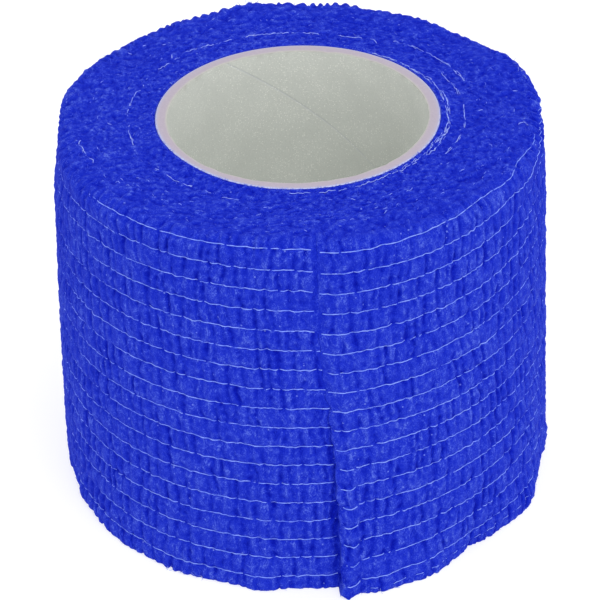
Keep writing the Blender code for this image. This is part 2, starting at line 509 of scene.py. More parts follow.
def side_point(turn, up):
    """Where the smooth winding lies, its outward direction, and the crepe's relief and tone."""
    turn, up = np.broadcast_arrays(turn, up)
    level = np.clip(up, 0.0, WALL_TOP)
    foot_angle = np.clip((FOOT_ROUNDING - up) / FOOT_ROUNDING, 0.0, math.pi / 2)
    top_angle = np.clip((up - WALL_TOP) / SHOULDER_RADIUS, 0.0, math.pi / 2)
    azimuth = cut_azimuth(level) + 360.0 * turn
    radius = wall_radius(turn, azimuth, level) + edge_shape(turn, level)
    radius = radius - FOOT_ROUNDING * (1 - np.cos(foot_angle)) - SHOULDER_RADIUS * (1 - np.cos(top_angle))
    rise = SHOULDER_RADIUS + end_sag(azimuth) + rim_swell(azimuth)
    height = np.clip(up, FOOT_ROUNDING, WALL_TOP) - FOOT_ROUNDING * np.sin(foot_angle)
    height = height + rise * np.sin(top_angle)
    corner = bell(turn * ROUND, CORNER_RISE_REACH) * (1.0 - smooth_step(0.0, CORNER_RISE_HEIGHT, up))
    height = height + CORNER_RISE * corner
    outward = np.cos(foot_angle) * np.cos(top_angle)
    upward = np.sin(top_angle) - np.sin(foot_angle)
    relief, tone = wall_relief(turn, azimuth, up)
    foot = 1.0 - smooth_step(FOOT_FROM, FOOT_TO, up)
    relief = relief * (1 - 0.4 * foot) + foot_relief(turn, azimuth) * foot
    tilt = top_angle / (math.pi / 2)
    plain = edge_plainness(turn, level)
    packed = packed_share(azimuth, up, tilt)
    end, end_tone = end_relief(azimuth, radius)
    relief = relief * plain * (1 - packed) + end * packed + rim_scallops(turn * ROUND, azimuth, tilt)
    # The tone carries the crepe's painted shade and highlights, and the painted shade and highlight by the
    # cut end
    tone = tone * plain * (1 - packed) + end_tone * packed + edge_painted_light(turn, level)
    return azimuth + edge_wave(turn, level), radius, height, outward, upward, relief, tone


END_START = WALL_RADIUS - 1.2 * MM - LAYER - SHOULDER_RADIUS  # the end face is alike in all turns inside this
END_JOIN = 0.12  # share of the end face over which the strip's last turn runs into that


def end_height(azimuth, radius):
    """Height of the smooth upper end face."""
    share = (END_START - radius) / (END_START - BORE)
    height = STRIP_WIDTH + end_sag(azimuth) + rim_swell(azimuth) * (1 - smooth_step(0.0, 0.35, share))
    by_tube = 1 - smooth_step(BORE, BORE + 2.5 * MM, radius)
    return height + (TUBE_LENGTH - RIM_ABOVE_CLOTH - height) * by_tube


def end_point(turn, share):
    """The upper end face, from the rim in to the bore."""
    turn, share = np.broadcast_arrays(turn, share)
    azimuth = cut_azimuth(STRIP_WIDTH) + 360.0 * turn
    outer = wall_radius(turn, azimuth, WALL_TOP) + edge_shape(turn, WALL_TOP) - SHOULDER_RADIUS
    start = END_START + (outer - END_START) * np.clip(1.0 - share / END_JOIN, 0.0, 1.0)
    radius = start + (bore_radius(azimuth) - start) * share
    height = end_height(azimuth, np.minimum(radius, END_START))
    relief, tone = end_relief(azimuth, radius)
    settle = 0.25 + 0.75 * smooth_step(0.0, 0.6 * MM, radius - bore_radius(azimuth))
    wave = edge_wave(turn, WALL_TOP) * (1 - smooth_step(0.0, END_JOIN, share))
    return azimuth + wave, radius, height, 0 * share, 1 + 0 * share, relief * settle, tone


def base_point(turn, share):
    """The lower end face, from the bore out to the foot. It lies flat."""
    turn, share = np.broadcast_arrays(turn, share)
    azimuth = cut_azimuth(0.0) + 360.0 * turn
    outer = wall_radius(turn, azimuth, 0.0) + edge_shape(turn, 0.0) - FOOT_ROUNDING
    fixed = WALL_RADIUS - LAYER - FOOT_ROUNDING - 0.5 * MM
    start = fixed + (outer - fixed) * np.clip(1.0 - (1.0 - share) / END_JOIN, 0.0, 1.0)
    radius = bore_radius(azimuth) + (start - bore_radius(azimuth)) * share
    relief, tone = end_relief(azimuth + 90.0, radius)
    wave = edge_wave(turn, 0.0) * smooth_step(1.0 - END_JOIN, 1.0, share)
    return azimuth + wave, radius, 0 * share, 0 * share, 0 * share, relief, tone


def bore_point(turn, depth):
    turn, depth = np.broadcast_arrays(turn, depth)
    azimuth = cut_azimuth(STRIP_WIDTH) + 360.0 * turn
    radius = bore_radius(azimuth)
    relief, _ = end_relief(azimuth, radius)
    height = end_height(azimuth, radius) + 0.25 * relief - depth
    # Painted shade: the cloth that goes down into the gap by the tube gets a tone of -0.3
    return azimuth, radius + 0 * depth, height, 0 * depth, 0 * depth, 0 * depth, 0 * depth - 0.3


def outward_normal(point):
    azimuth, _, _, outward, upward = point[:5]
    angle = np.radians(azimuth)
    return np.stack([np.sin(angle) * outward, -np.cos(angle) * outward, upward], axis=-1)


def lifted(point, lift=0.0):
    """A point of the crepe, with its place, its relief and its tone, which holds painted shade and
    highlights.
    """
    azimuth, radius, height, outward, upward, relief, tone = point
    rise = relief + lift
    height = np.maximum(height + upward * rise, 0.02 * MM)
    return place(azimuth, radius + outward * rise, height), relief, tone


EDGE_STRETCH = 3 * MM  # the columns are closer together within this distance of the cut end
COLUMNS = 860
EDGE_COLUMNS = 26
WALL_ROWS = 228
END_ROWS = 78
BASE_ROWS = 20
BORE_ROWS = 4
BORE_DEPTH = 1.5 * MM


def column_turns():
    edge = np.linspace(0.0, EDGE_STRETCH / ROUND, EDGE_COLUMNS)
    middle = np.linspace(edge[-1], 1 - edge[-1], COLUMNS)
    return np.concatenate([edge[:-1], middle, 1 - edge[::-1][1:]])


def cloth_grid(turn):
    """Points of the grid, [column, row, xyz], their relief and their tone."""
    turn = turn[:, None]
    parts = [
        lifted(base_point(turn, np.linspace(0, 1, BASE_ROWS)[:-1])),
        lifted(side_point(turn, np.linspace(LOWER_RIM, UPPER_RIM, WALL_ROWS)[:-1])),
        lifted(end_point(turn, np.linspace(0, 1, END_ROWS))),
        lifted(bore_point(turn, np.linspace(0, BORE_DEPTH, BORE_ROWS)[1:])),
    ]
    return [np.concatenate(values, axis=1) for values in zip(*parts)]


def grid_normals(points):
    """Outward normals of a grid whose columns run round and rows run up."""
    return unit(np.cross(np.gradient(points, axis=0), np.gradient(points, axis=1)))


def new_object(name, points, faces):
    """An object whose mesh has these points, and faces that all have the same number of corners."""
    mesh = bpy.data.meshes.new(name)
    corners = faces.shape[1]
    mesh.vertices.add(len(points))
    mesh.vertices.foreach_set("co", points.reshape(-1).astype(np.float32))
    mesh.loops.add(faces.size)
    mesh.loops.foreach_set("vertex_index", faces.reshape(-1))
    mesh.polygons.add(len(faces))
    mesh.polygons.foreach_set("loop_start", np.arange(len(faces)) * corners)
    mesh.update(calc_edges=True)
    mesh.validate()
    mesh.shade_smooth()
    made = bpy.data.objects.new(name, mesh)
    bpy.context.collection.objects.link(made)
    return made


def grid_object(name, points, normals, **attributes):
    """An object of quads over a grid, with its normals given so that pieces meet smoothly."""
    columns, rows = points.shape[:2]
    index = np.arange(columns * rows).reshape(columns, rows)
    quads = np.stack([index[:-1, :-1], index[1:, :-1], index[1:, 1:], index[:-1, 1:]], axis=-1)
    made = new_object(name, points.reshape(-1, 3), quads.reshape(-1, 4))
    made.data.normals_split_custom_set_from_vertices(normals.reshape(-1, 3))
    for label, values in attributes.items():
        layer = made.data.attributes.new(label, "FLOAT", "POINT")
        values = np.broadcast_to(values, (columns, rows)).astype(np.float32)
        layer.data.foreach_set("value", values.reshape(-1))
    return made


def cut_end_line(under, over):
    """The edge of the last layer: from the layer under it, in under the loose edge, and up over it."""
    middle = np.array([AXIS_X, AXIS_Y, 0.0])
    outward = unit((over - middle) * [1.0, 1.0, 0.0])
    onward = np.cross([0.0, 0.0, 1.0], outward)
    step = ((over - under) * outward).sum(axis=1, keepdims=True)
    loose = looseness(over[:, 2:3])
    deep = 0.05 * MM * loose
    gap = 0.08 * step * loose
    lip = 0.05 * MM * loose
    return np.stack([
        under,
        under + onward * 0.6 * deep,
        under + onward * deep + outward * 0.5 * gap,
        under + onward * 0.5 * deep + outward * gap,
        under + outward * (gap + 0.1 * (step - gap)),
        under + outward * (gap + 0.5 * (step - gap)) - onward * lip,
        under + outward * (gap + 0.85 * (step - gap)) - onward * 0.7 * lip,
        over,
    ])


def dress(piece, material, node="bandage_roll"):
    piece.data.materials.append(material)
    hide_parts(node)
    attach(piece, "root")
    return piece


CLOTH_PIECES = 4
# Painted light inside the step at the cut end
CREVICE_PAINTED_LIGHT = 0.16


def make_cloth(material):
    points, relief, tone = cloth_grid(column_turns())
    normals = grid_normals(points)
    apart = np.linalg.norm(points[0] - points[-1], axis=1) > 0.001 * MM
    across = points[1] - points[-2]
    along = np.gradient(points[0], axis=0)
    seam = unit(np.cross(across, along))
    tight = np.where(apart, 1.0 - 0.5 * looseness(points[0][:, 2]), 1.0)[:, None]
    for column in (0, -1):
        normals[column] = normals[column] * (1 - tight) + seam * tight
    count = len(points) - 1
    for part in range(CLOTH_PIECES):
        first = part * count // CLOTH_PIECES
        last = (part + 1) * count // CLOTH_PIECES + 1
        piece = grid_object(f"cloth_{part + 1}", points[first:last], normals[first:last],
                            relief=relief[first:last] / MM, tone=tone[first:last])
        dress(piece, material)
    rows = np.flatnonzero(apart)
    rows = slice(rows[0], rows[-1] + 1)
    line = cut_end_line(points[-1, rows], points[0, rows])
    shade = np.linspace(0.0, 1.0, len(line))[:, None]
    line_normals = grid_normals(line)
    tight = tight[rows]
    line_normals = line_normals * (1 - tight) + seam[rows] * tight
    line_normals[0] = normals[-1, rows]
    line_normals[-1] = normals[0, rows]
    # Painted light: the inside of the step at the cut end is painted lighter, against the shadow that falls
    # there
    inside = np.sin(math.pi * np.clip(shade * 1.25, 0, 1)) * (1 - tight.T)
    line_tone = tone[-1, rows] * (1 - shade) + tone[0, rows] * shade + CREVICE_PAINTED_LIGHT * inside
    line_relief = relief[-1, rows] * (1 - shade) + relief[0, rows] * shade
    piece = grid_object("cut_end", line, line_normals, relief=line_relief / MM, tone=line_tone)
    dress(piece, material)


# ---------------------------------------------------------------- threads and fibres

def tube_object(name, paths, radii, sides, reference=(0.0, 0.0, 1.0)):
    """One mesh of thin tubes along paths: each path has its points and a radius, or a radius a point."""
    points, faces, start = [], [], 0
    turns = 2 * math.pi * np.arange(sides) / sides
    for path, radius in zip(paths, radii):
        tangent = unit(np.gradient(path, axis=0))
        side = unit(np.cross(tangent, reference))
        other = np.cross(side, tangent)
        radius = np.broadcast_to(radius, len(path))[:, None, None]
        ring = np.cos(turns)[None, :, None] * side[:, None] + np.sin(turns)[None, :, None] * other[:, None]
        points.append((path[:, None] + radius * ring).reshape(-1, 3))
        index = start + np.arange(len(path) * sides).reshape(len(path), sides)
        after = np.roll(index, -1, axis=1)
        faces.append(np.stack([index[:-1], after[:-1], after[1:], index[1:]], axis=-1).reshape(-1, 4))
        start += len(path) * sides
    return new_object(name, np.concatenate(points), np.concatenate(faces))


THREAD_SIDES = 4
THREAD_RADIUS = 0.075 * MM
THREAD_STEP = 0.3 * MM
THREAD_LIFT = 0.028 * MM
THREAD_WAVE = 0.085 * MM
SINK = 0.12 * MM  # how deep a thread goes in the deepest grooves, and where the cloth hides it
EDGE_DIP = 0.36 * MM  # the threads sag between the loose cut end and the crease beside it
EDGE_DIP_SPAN = 2.3 * MM

# The highest threads run lower on the right side of the shoulder: (from, to, millimetres) for each step down
SIDE_DROOP = {
    17: ((46.0, 60.0, 1.1), (64.0, 80.0, 1.9)),
    16: ((54.0, 68.0, 1.0),),
}
DROOP_FROM, DROOP_TO = 95.0, 130.0  # they rise again between these azimuths


def thread_path(row, first_turn, last_turn, extra_up=0.0):
    """The elastic thread of a row: it lies on the ridges and dips out of sight in the grooves."""
    count = max(int((last_turn - first_turn) * ROUND / THREAD_STEP), 4)
    turn = np.linspace(first_turn, last_turn, count)
    along = turn * ROUND
    base = FIRST_THREAD_HEIGHT + THREAD_PITCH * row + extra_up
    azimuth = cut_azimuth(np.clip(base, 0, WALL_TOP)) + 360.0 * turn
    lift = row_lift(turn, azimuth, base + row_lift(turn, azimuth, base))
    wave = rough(along / (1.15 * MM), row * 7.3, SEED + 71, 2) * THREAD_WAVE
    dip = np.sin(math.pi * np.clip((along - 0.2 * MM) / EDGE_DIP_SPAN, 0.0, 1.0))
    wave = wave - EDGE_DIP * looseness(base) * dip
    from_front = from_azimuth(azimuth, 0.0)
    fading = 1.0 - smooth_step(DROOP_FROM, DROOP_TO, from_front)
    for low, high, drop in SIDE_DROOP.get(row, ()):
        wave = wave - drop * MM * smooth_step(low, high, from_front) * fading
    point = side_point(turn, base + lift + wave)
    groove = PUCKERS[row].groove(along, narrower=0.8)
    hidden = rough(along / (5 * MM), row * 3.1, SEED + 75, 2)
    from_front = np.abs(from_front)
    beside = smooth_step(42.0, 66.0, from_front) * (1.0 - smooth_step(84.0, 104.0, from_front))
    sunk = SINK * smooth_step(0.45, 0.92, groove) + SINK * smooth_step(0.85, 1.2, hidden)
    sunk = sunk + beside * (0.012 * MM + 0.05 * MM * np.clip(hidden + 0.25, 0.0, 1.0))
    path, _, _ = lifted(point, lift=THREAD_LIFT - sunk)
    swell = rough(along / (0.9 * MM), row * 5.9, SEED + 77, 2)
    turned = smooth_step(15.0, 45.0, from_front)
    radius = THREAD_RADIUS * (1.0 - 0.12 * turned - 0.16 * beside)
    return path, radius * (1.0 - 0.35 * smooth_step(0.1, 0.6, groove) + 0.14 * swell)


TOP_THREAD_FROM = -62.0  # degrees from the cut end
TOP_THREAD_TO = 76.0
THREAD_START = 0.3 * MM  # the threads begin this far from the cut edge
CREASE_TOP = 36 * MM
LOWEST_THREAD_DROP = 1.36 * MM  # it lies this far below the first of the others
LOWEST_THREAD = (  # where it shows past the cut end, in millimetres
    (3.4, 4.2), (6.2, 7.9), (9.2, 10.1), (11.4, 12.4), (13.0, 13.8), (15.0, 15.7), (16.6, 17.3), (19.0, 20.0),
    (21.0, 22.8), (24.0, 25.2), (26.6, 27.4), (28.6, 30.2), (32.0, 33.4),
)


def make_threads(material):
    paths = []
    for row in range(THREAD_COUNT - 1):
        height = FIRST_THREAD_HEIGHT + THREAD_PITCH * row
        start = THREAD_START + (0.10 * looseness(height) + 0.10 * math.sin(row * 2.4)) * MM
        end = ROUND - (0.12 + 0.22 * (looseness(height) > 0.5) + 0.50 * (height > CREASE_TOP)) * MM
        if looseness(height) > 0.5:  # the crease beside the loose cut end hides a bit of the thread
            paths.append(thread_path(row, start / ROUND, (EDGE_DIP_SPAN - 0.1 * MM) / ROUND))
            start = EDGE_DIP_SPAN + 0.2 * MM
        paths.append(thread_path(row, start / ROUND, end / ROUND))
    top = THREAD_COUNT - 1  # the curled selvage covers the highest thread but for the part beside the cut end
    paths.append(thread_path(top, THREAD_START / ROUND, TOP_THREAD_TO / 360.0))
    paths.append(thread_path(top, 1.0 + TOP_THREAD_FROM / 360.0, 1.0 - 0.75 * MM / ROUND))
    for first, last in LOWEST_THREAD:
        path, radius = thread_path(0, first * MM / ROUND, last * MM / ROUND, extra_up=-LOWEST_THREAD_DROP)
        paths.append((path, 0.7 * radius))
    half = len(paths) // 2
    for name, some in (("elastic_threads_lower", paths[:half]), ("elastic_threads_upper", paths[half:])):
        piece = tube_object(name, *zip(*some), THREAD_SIDES)
        dress(piece, material)


# Threads of the inner turns that show on the end face: azimuths, and millimetres from the tube's axis
STRAY_THREADS = (
    ((-125.9, 21.62), (-128.7, 21.41), (-132.7, 21.56), (-136.6, 21.39)),
    ((-133.1, 21.72), (-135.2, 22.59)),
    ((-139.6, 21.7), (-145.0, 21.5), (-153, 21.3), (-161, 21.4), (-170, 21.5), (-178, 21.5), (-188, 21.1)),
    ((-195, 21.1), (-199, 21.2), (-203.5, 21.2)),
    ((-206.5, 21.3), (-209.5, 21.0)),
    ((146, 22.3), (139, 22.7), (131.6, 22.79), (128.3, 22.74), (123.4, 22.74), (118.6, 22.63),
     (115.4, 22.60), (111.2, 22.44)),
    ((119.5, 20.92), (112.1, 20.75), (107.1, 20.70), (103.0, 20.64)),
    ((96.8, 20.62), (90.2, 20.46), (83.6, 20.56), (79.1, 20.69)),
    ((74.4, 20.47), (68.9, 20.33), (64.5, 20.10), (60.4, 20.18)),
    ((149, 17.9), (137, 17.95), (126, 18.2), (117.4, 18.75), (111.1, 18.60), (103.0, 18.78), (97.1, 18.64),
     (89.8, 18.20), (83.2, 18.57), (79.0, 18.82), (73.7, 18.54), (69.9, 18.40), (66.0, 18.22)),
    ((140, 18.2), (126, 18.0), (112, 18.3), (107.1, 18.59), (99.6, 18.26), (94.2, 18.56), (86.1, 18.70),
     (79.5, 18.39), (72.9, 18.37), (66, 18.0), (58, 18.1), (48, 18.2), (38, 18.2), (27, 18.3), (16, 18.4),
     (6, 18.5), (-4, 18.4)),
    ((107.0, 18.83), (98.0, 18.72), (89.2, 18.45), (82.4, 18.37), (77.2, 18.70), (69.1, 18.53),
     (61.7, 18.57), (56.6, 18.49), (48, 18.4), (40, 18.5)),
    ((-115.8, 21.49), (-114.0, 21.13)),
    ((-111.9, 20.94), (-109.3, 21.36), (-104.7, 21.29), (-100.4, 21.29), (-96.4, 21.33), (-91.7, 21.11),
     (-85.2, 20.99), (-79.5, 20.91), (-73.7, 20.91)),
    ((-61.3, 20.67), (-60.0, 20.34)),
    ((-56.9, 20.66), (-55.3, 20.42), (-50.3, 20.44), (-47.3, 20.48), (-44.5, 20.34), (-40.0, 20.08)),
    ((-34, 20.0), (-29, 20.3), (-25, 20.5), (-21, 20.4)),
    ((-82.1, 26.85), (-78.9, 27.36), (-78.0, 27.10), (-75.1, 26.96), (-73.2, 26.83)),
    ((-71.5, 26.9), (-70.3, 26.5), (-69.2, 26.7)),
    ((-57.0, 26.60), (-57.0, 25.95), (-55.4, 25.9)),
    ((-119.0, 18.39), (-117.8, 17.81)),
    ((83.0, 27.05), (84.4, 27.49), (84.2, 27.88), (82.6, 28.29)),
)
BRIGHT_DASHES = (  # loose bits of thread on the outer turns of the end face
    ((-130.1, 28.2), (-130.3, 27.6)),
    ((-134.1, 27.8), (-135.2, 27.5)),
    ((-137.8, 28.9), (-137.2, 28.5)),
    ((-138.6, 26.1), (-139.5, 25.8)),
    ((-89.6, 23.5), (-88.8, 23.0)),
    ((90.9, 22.2), (91.3, 22.8)),
    ((100.8, 27.3), (100.8, 27.9)),
    ((-158, 27.6), (-156.5, 27.2)),
)


def on_end(azimuth, radius, lift):
    """Points on the crepe of the end face."""
    relief, _ = end_relief(azimuth, radius)
    return place(azimuth, radius, end_height(azimuth, radius) + relief + lift)


def stray_path(corners, number, spread):
    """A thread lying on the end face, a little wavy, that dips in and out of the cloth."""
    azimuths, radii = np.array(corners, dtype=float).T
    steps = np.hypot(np.radians(np.diff(azimuths)) * radii[1:], np.diff(radii)) * MM
    marks = np.concatenate([[0.0], np.cumsum(steps)])
    along = np.linspace(0, marks[-1], max(int(marks[-1] / (0.2 * MM)), 5))
    azimuth = np.interp(along, marks, azimuths)
    radius = np.interp(along, marks, radii) * MM
    radius = radius + rough(along / (0.9 * MM), number * 5.7, SEED + 81, 2) * 0.09 * MM * (1 + spread)
    radius = radius + spread * 0.09 * MM * math.sin(number * 2.1 + spread)
    radius = np.maximum(radius, bore_radius(azimuth) + 0.05 * MM)
    dips = rough(along / (0.9 * MM), number * 3.3 + spread, SEED + 85, 2)
    lift = 0.03 * MM - 0.17 * MM * smooth_step(-0.05 - 0.35 * spread, 0.45, dips)
    return on_end(azimuth, radius, lift)


STRAY_RADIUS = 0.044 * MM
SECOND_STRAY_RADIUS = 0.030 * MM  # longer stray threads are double
DASH_RADIUS = 0.06 * MM


def make_stray_threads(material):
    paths, radii = [], []
    for number, corners in enumerate(STRAY_THREADS):
        paths.append(stray_path(corners, number, 0))
        radii.append(STRAY_RADIUS)
        if len(corners) > 3:
            paths.append(stray_path(corners, number + 31, 1))
            radii.append(SECOND_STRAY_RADIUS)
    for number, corners in enumerate(BRIGHT_DASHES):
        path = stray_path(corners, number, 0)
        paths.append(path)
        radii.append(DASH_RADIUS * np.sin(np.linspace(0.5, math.pi - 0.5, len(path))))
    piece = tube_object("stray_threads", paths, radii, THREAD_SIDES)
    dress(piece, material)


FIBRE_POINTS = 5
FIBRE_SIDES = 3
FIBRE_REFERENCE = (0.31, 0.52, 0.79)  # a direction that no fibre is likely to have
FUZZ_RADII = (0.014, 0.024)  # millimetres
SIDE_FUZZ = (  # how many, from and to up the strip, their shortest and longest in millimetres, how untidy
    (520, UPPER_RIM - 3 * MM, UPPER_RIM, 0.25, 0.7, 0.8),  # upper rim
    (420, LOWER_RIM, 1.2 * MM, 0.2, 0.5, 0.8),  # lower rim
    (560, 3 * MM, WALL_TOP, 0.2, 0.5, 0.9),  # wall
)
END_FUZZ = (  # the same over the end face, from and to as shares of the way from the rim to the bore
    (620, 0.02, 0.98, 0.2, 0.55, 1.3),
    (260, 0.95, 1.0, 0.2, 0.5, 1.0),
)
CUT_END_FIBRES = 90
RIM_FIBRES = 520  # they lie over the tube's rim


def fibre_paths(roots, directions, lengths, chance):
    """Short curled fibres that grow out of the cloth."""
    share = np.linspace(0, 1, FIBRE_POINTS)[None, :, None]
    curl = unit(np.cross(directions, chance.normal(size=directions.shape)))
    bend = chance.uniform(0.3, 1.1, len(roots))[:, None]
    path = roots[:, None] + lengths[:, None, None] * (
        directions[:, None] * (share - 0.35 * share ** 2) + (curl * bend)[:, None] * share ** 2 * 0.6)
    path[..., 2] = np.maximum(path[..., 2], 0.05 * MM)
    return path


def make_fuzz(material):
    chance = np.random.default_rng(SEED + 90)
    roots, directions, lengths = [], [], []

    def grow(point, count, low, high, tilt):
        normal = outward_normal(point)
        roots.append(lifted(point, lift=-0.03 * MM)[0])
        directions.append(unit(normal + tilt * chance.normal(size=normal.shape)))
        lengths.append(chance.uniform(low, high, count) * MM)

    for count, low_up, high_up, low, high, tilt in SIDE_FUZZ:
        turn = chance.uniform(0.004, 0.996, count)
        grow(side_point(turn, chance.uniform(low_up, high_up, count)), count, low, high, tilt)
    turn = chance.uniform(0.0, 0.0015, CUT_END_FIBRES)
    up = chance.uniform(1 * MM, 28 * MM, CUT_END_FIBRES)
    grow(side_point(turn, up), CUT_END_FIBRES, 0.25, 0.6, 1.0)
    for count, outer, inner, low, high, tilt in END_FUZZ:
        turn = chance.uniform(0, 1, count)
        grow(end_point(turn, chance.uniform(outer, inner, count)), count, low, high, tilt)
    turn = chance.uniform(0, 1, RIM_FIBRES)
    point = end_point(turn, np.full(RIM_FIBRES, 0.995))
    azimuth = np.radians(point[0])
    inward = np.stack([-np.sin(azimuth), np.cos(azimuth), 0.45 + 0 * azimuth], axis=-1)
    roots.append(lifted(point, lift=0.04 * MM)[0])
    directions.append(unit(inward + 0.7 * chance.normal(size=inward.shape) * [1.0, 1.0, 0.2]))
    lengths.append(chance.uniform(0.15, 0.42, RIM_FIBRES) * MM)
    roots, directions = np.concatenate(roots), np.concatenate(directions)
    lengths = np.concatenate(lengths)
    paths = fibre_paths(roots, directions, lengths, chance)
    thickness = chance.uniform(*FUZZ_RADII, len(paths))[:, None]
    radii = np.linspace(1.0, 0.5, FIBRE_POINTS)[None, :] * thickness * MM
    piece = tube_object("fuzz", paths, radii, FIBRE_SIDES, reference=FIBRE_REFERENCE)
    dress(piece, material)


FRINGES = (  # tufts of torn fibres at the rims: azimuth, how far they spread, up, and how many
    (-168.0, 3.0, UPPER_RIM - 1.3 * MM, 16),
    (112.0, 9.0, UPPER_RIM - 1.6 * MM, 14),
    (-34.0, 6.0, 0.2 * MM, 22),
    (12.0, 4.0, 0.2 * MM, 8),
)


def make_fringes(material):
    chance = np.random.default_rng(SEED + 97)
    paths, radii = [], []
    for azimuth, spread, up, count in FRINGES:
        turns = (azimuth - CUT_TOP_AZIMUTH + chance.uniform(-spread, spread, count)) / 360.0 % 1.0
        point = side_point(turns, up + chance.uniform(-0.4, 0.4, count) * MM)
        roots, _, _ = lifted(point, lift=-0.02 * MM)
        normal = outward_normal(point)
        angle = np.radians(point[0])
        onward = np.stack([np.cos(angle), np.sin(angle), 0 * angle], axis=-1)
        onward = onward * chance.choice((-1, 1), (count, 1))
        directions = unit(0.6 * normal + onward + 0.4 * chance.normal(size=normal.shape))
        paths += list(fibre_paths(roots, directions, chance.uniform(0.4, 1.0, count) * MM, chance))
        radii += list(chance.uniform(0.018, 0.034, count) * MM)
    piece = tube_object("rim_fringes", paths, radii, FIBRE_SIDES, reference=FIBRE_REFERENCE)
    dress(piece, material)


FLECKS = 170


def make_flecks(material):
    """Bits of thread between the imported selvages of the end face."""
    chance = np.random.default_rng(SEED + 95)
    paths, radii = [], []
    for _ in range(FLECKS):
        azimuth = chance.uniform(-180, 180)
        radius = BORE + 0.3 * MM + (END_START - BORE) * math.sqrt(chance.uniform(0.0, 1.0))
        length = chance.uniform(0.25, 0.9) * MM
        steps = np.linspace(-0.5, 0.5, FIBRE_POINTS)
        slant = chance.normal(0.0, 0.35)
        azimuths = azimuth + np.degrees(steps * length / radius)
        bow = (0.25 - steps ** 2) * chance.normal(0.0, 0.5) * length
        outs = radius + steps * length * slant + bow
        lift = 0.03 * MM - 0.12 * MM * (2 * steps) ** 2
        paths.append(on_end(azimuths, outs, lift))
        radii.append(chance.uniform(0.025, 0.05) * MM)
    piece = tube_object("end_flecks", paths, radii, FIBRE_SIDES)
    dress(piece, material)


# ---------------------------------------------------------------- the paper tube

TUBE_COLUMNS = 360
TUBE_RIM_ROUNDING = 0.16 * MM
TUBE_WALL_ROWS = 56
SEAM_TOP = 49.6 * MM  # the spiral seam of the inner ply starts here, at this azimuth
SEAM_AZIMUTH = -148.0
SEAM_PITCH = 79.5 * MM
SEAM_HALF_WIDTH = 0.22 * MM
NOTCH_AZIMUTH = 165.5
NOTCH_WIDTH = 2.2
NOTCH_DEPTH = 0.14 * MM


def tube_profile():
    """(radius, height) from the lower rim up the outside, over the upper rim and down the inside."""
    inner = TUBE_OUTER_RADIUS - TUBE_WALL
    edge = TUBE_RIM_ROUNDING
    corner = np.linspace(0, math.pi / 2, 5)
    outer_x, outer_z = TUBE_OUTER_RADIUS - edge, TUBE_LENGTH - edge
    inner_x = inner + edge
    line = [(inner_x, 0.0), (TUBE_OUTER_RADIUS - edge, 0.0), (TUBE_OUTER_RADIUS, edge)]
    line += [(TUBE_OUTER_RADIUS, height) for height in np.linspace(edge, outer_z, 4)[1:-1]]
    line += [(outer_x + edge * math.cos(a), outer_z + edge * math.sin(a)) for a in corner]
    line += [(radius, TUBE_LENGTH) for radius in np.linspace(outer_x, inner_x, 7)[1:-1]]
    line += [(inner_x - edge * math.sin(a), outer_z + edge * math.cos(a)) for a in corner]
    line += [(inner, outer_z - 0.05 * MM)]
    line += [(inner, height) for height in np.linspace(outer_z, edge, TUBE_WALL_ROWS)[1:]]
    line += [(inner_x, 0.0)]
    return np.array(line).T


def make_tube(material):
    azimuth = np.linspace(-180.0, 180.0, TUBE_COLUMNS + 1)[:, None]
    radius, height = tube_profile()
    radius, height = radius[None, :], height[None, :]
    inner = TUBE_OUTER_RADIUS - TUBE_WALL
    inward = smooth_step(TUBE_OUTER_RADIUS - 0.3 * MM, inner + 0.1 * MM, radius)
    at_top = smooth_step(TUBE_LENGTH - 0.7 * MM, TUBE_LENGTH - 0.05 * MM, height)
    cells = TUBE_COLUMNS // 4
    ragged = rough(azimuth / 360.0 * cells, height / (2 * MM), SEED + 101, 3, cells)
    broad = rough(azimuth / 360.0 * 12, 0.5, SEED + 105, 2, 12)
    radius = radius + inward * at_top * (0.035 * MM * ragged) + 0.05 * MM * broad * inward
    ply = (radius - inner) / TUBE_WALL
    radius = radius - (1.0 - inward) * tube_dent(azimuth)
    notch = bell(from_azimuth(azimuth, NOTCH_AZIMUTH), NOTCH_WIDTH)
    height = height - at_top * inward * (NOTCH_DEPTH * notch + 0.025 * MM * (1 + ragged))
    points = place(azimuth, radius, height) + np.array(TUBE_SHIFT)
    seam = height - SEAM_TOP - SEAM_PITCH * (azimuth - SEAM_AZIMUTH) / 360.0
    cut = np.maximum(0.08 * MM + 0.10 * MM * ragged, 0.07 * MM)  # the cut edge reaches down the inner ply
    rim_edge = TUBE_LENGTH - cut - NOTCH_DEPTH * notch
    rim = smooth_step(rim_edge - 0.12 * MM, rim_edge, height)
    normals = grid_normals(points)
    normals[0] = normals[-1] = unit(normals[0] + normals[-1])
    seam_seen = smooth_step(24 * MM, 40 * MM, height)
    piece = grid_object("paper_tube", points, normals, seam=seam / MM, seam_seen=seam_seen, rim=rim, ply=ply)
    dress(piece, material, "core_tube")


# ---------------------------------------------------------------- materials

